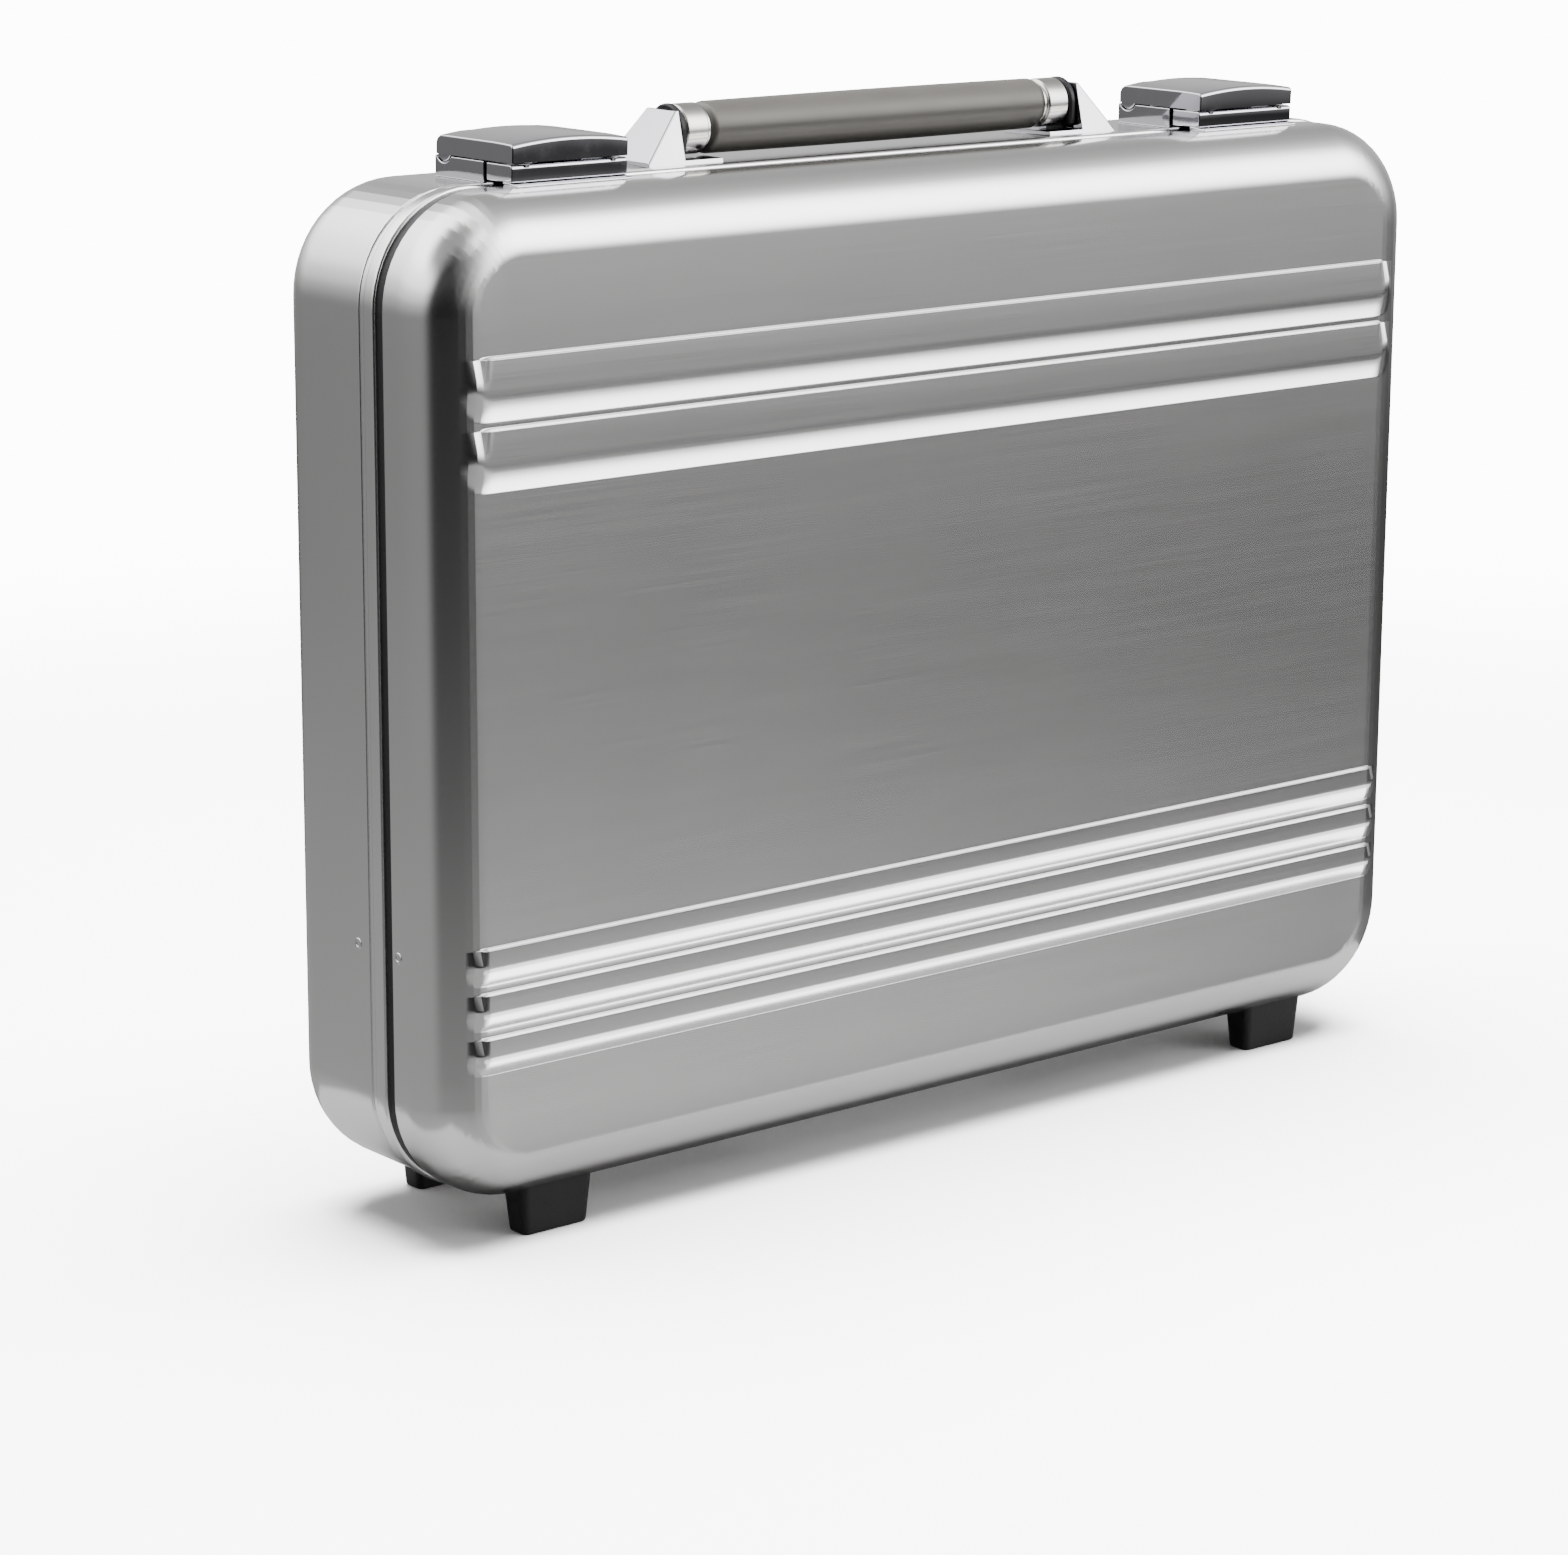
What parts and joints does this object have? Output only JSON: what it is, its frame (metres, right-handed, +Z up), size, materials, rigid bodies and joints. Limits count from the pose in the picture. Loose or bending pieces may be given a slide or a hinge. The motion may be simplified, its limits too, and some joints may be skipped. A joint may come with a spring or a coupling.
{
  "type": "attache case",
  "caption": "Hard aluminium attache case on rubber feet: shallow ribbed lid hinged to a deep base, over-seam latches and a pull-up carrying handle.",
  "frame": {"origin": "on the floor under the middle of the case, at the centre of its bounding box in plan", "axes": "+Z up, +X along the case's width to the right as seen from the lid side, +Y from the lid towards the deep base"},
  "size_m": [0.4564, 0.0958, 0.3753],
  "materials": {
    "shell_aluminium": "satin, fine horizontal brushing",
    "frame_aluminium": "bright anodised",
    "gasket_rubber": "matte",
    "foot_rubber": "moulded, matte",
    "lining_fabric": "quilted lining cloth",
    "pocket_leather": "grained",
    "zinc_steel": "bright zinc",
    "polished_chrome": "polished",
    "ferrule_aluminium": "turned, satin",
    "grip_coating": "satin warm grey",
    "black_plastic": "moulded"
  },
  "bodies": {
    "base": {"base_shell": "shell_aluminium", "base_frame": "frame_aluminium", "seam_gasket": "gasket_rubber", "base_lining": "lining_fabric", "base_foot_left": "foot_rubber", "base_foot_right": "foot_rubber", "base_foot_screws": "zinc_steel", "hinge_base_rivets": "zinc_steel", "handle_backing_plate": "zinc_steel", "handle_bracket_rivets": "polished_chrome", "latch_body_rivets": "polished_chrome", "hinge_base_leaf_left": "zinc_steel", "hinge_base_leaf_right": "zinc_steel", "hinge_pin_left": "zinc_steel", "hinge_pin_right": "zinc_steel", "stay_base_rivet_left": "zinc_steel", "stay_base_rivet_right": "zinc_steel", "latch_body_left": "polished_chrome", "latch_body_right": "polished_chrome", "latch_pin_left": "zinc_steel", "latch_pin_right": "zinc_steel", "latch_spring_left": "zinc_steel", "latch_spring_right": "zinc_steel", "handle_bracket_left": "polished_chrome", "handle_bracket_right": "polished_chrome", "handle_guide_left": "black_plastic", "handle_guide_right": "black_plastic"},
    "lid": {"lid_shell": "shell_aluminium", "lid_frame": "frame_aluminium", "lid_lining": "lining_fabric", "document_pocket": "pocket_leather", "lid_foot_left": "foot_rubber", "lid_foot_right": "foot_rubber", "lid_foot_screws": "zinc_steel", "hinge_lid_rivets": "zinc_steel", "latch_catch_rivets": "polished_chrome", "hinge_lid_leaf_left": "zinc_steel", "hinge_lid_leaf_right": "zinc_steel", "stay_lid_rivet_left": "zinc_steel", "stay_lid_rivet_right": "zinc_steel", "latch_catch_left": "polished_chrome", "latch_catch_right": "polished_chrome"},
    "handle": {"handle_grip": "grip_coating", "handle_core_rod": "zinc_steel", "handle_link_screws": "zinc_steel", "handle_ferrule_left": "ferrule_aluminium", "handle_ferrule_right": "ferrule_aluminium", "handle_link_left": "black_plastic", "handle_link_right": "black_plastic"},
    "latch_lever_left": {"latch_lever_left": "polished_chrome", "latch_hook_left": "polished_chrome"},
    "stay_base_arm_left": {"stay_base_arm_left": "zinc_steel", "stay_knee_pin_left": "zinc_steel"},
    "stay_lid_arm_left": {"stay_lid_arm_left": "zinc_steel"},
    "latch_lever_right": {"latch_lever_right": "polished_chrome", "latch_hook_right": "polished_chrome"},
    "stay_base_arm_right": {"stay_base_arm_right": "zinc_steel", "stay_knee_pin_right": "zinc_steel"},
    "stay_lid_arm_right": {"stay_lid_arm_right": "zinc_steel"}
  },
  "joints": [
    {"name": "lid_hinge", "type": "hinge", "parent": "base", "child": "lid", "pos_m": [0, -0.0111, 0.0118], "axis": [1, 0, 0], "range_deg": [0, 100]},
    {"name": "handle_lift", "type": "slide", "parent": "base", "child": "handle", "axis": [0, 0, 1], "range_m": [0, 0.026]},
    {"name": "latch_left", "type": "hinge", "parent": "base", "child": "latch_lever_left", "pos_m": [-0.1555, 0.01415, 0.3646], "axis": [-1, 0, 0], "range_deg": [0, 75]},
    {"name": "latch_right", "type": "hinge", "parent": "base", "child": "latch_lever_right", "pos_m": [0.1555, 0.01415, 0.3646], "axis": [-1, 0, 0], "range_deg": [0, 75]},
    {"name": "stay_base_left", "type": "hinge", "parent": "base", "child": "stay_base_arm_left", "pos_m": [-0.2223, 0.00065, 0.103], "axis": [1, 0, 0], "range_deg": [0, 100]},
    {"name": "stay_lid_left", "type": "hinge", "parent": "lid", "child": "stay_lid_arm_left", "pos_m": [-0.2223, -0.02285, 0.103], "axis": [1, 0, 0], "range_deg": [-100, 0]},
    {"name": "stay_base_right", "type": "hinge", "parent": "base", "child": "stay_base_arm_right", "pos_m": [0.2223, 0.00065, 0.103], "axis": [1, 0, 0], "range_deg": [0, 100]},
    {"name": "stay_lid_right", "type": "hinge", "parent": "lid", "child": "stay_lid_arm_right", "pos_m": [0.2223, -0.02285, 0.103], "axis": [1, 0, 0], "range_deg": [-100, 0]}
  ],
  "couplings": [
    {"joint": "stay_base_left", "follows": "lid_hinge", "ratio": 1},
    {"joint": "stay_lid_left", "follows": "lid_hinge", "ratio": -1},
    {"joint": "stay_base_right", "follows": "lid_hinge", "ratio": 1},
    {"joint": "stay_lid_right", "follows": "lid_hinge", "ratio": -1}
  ]
}
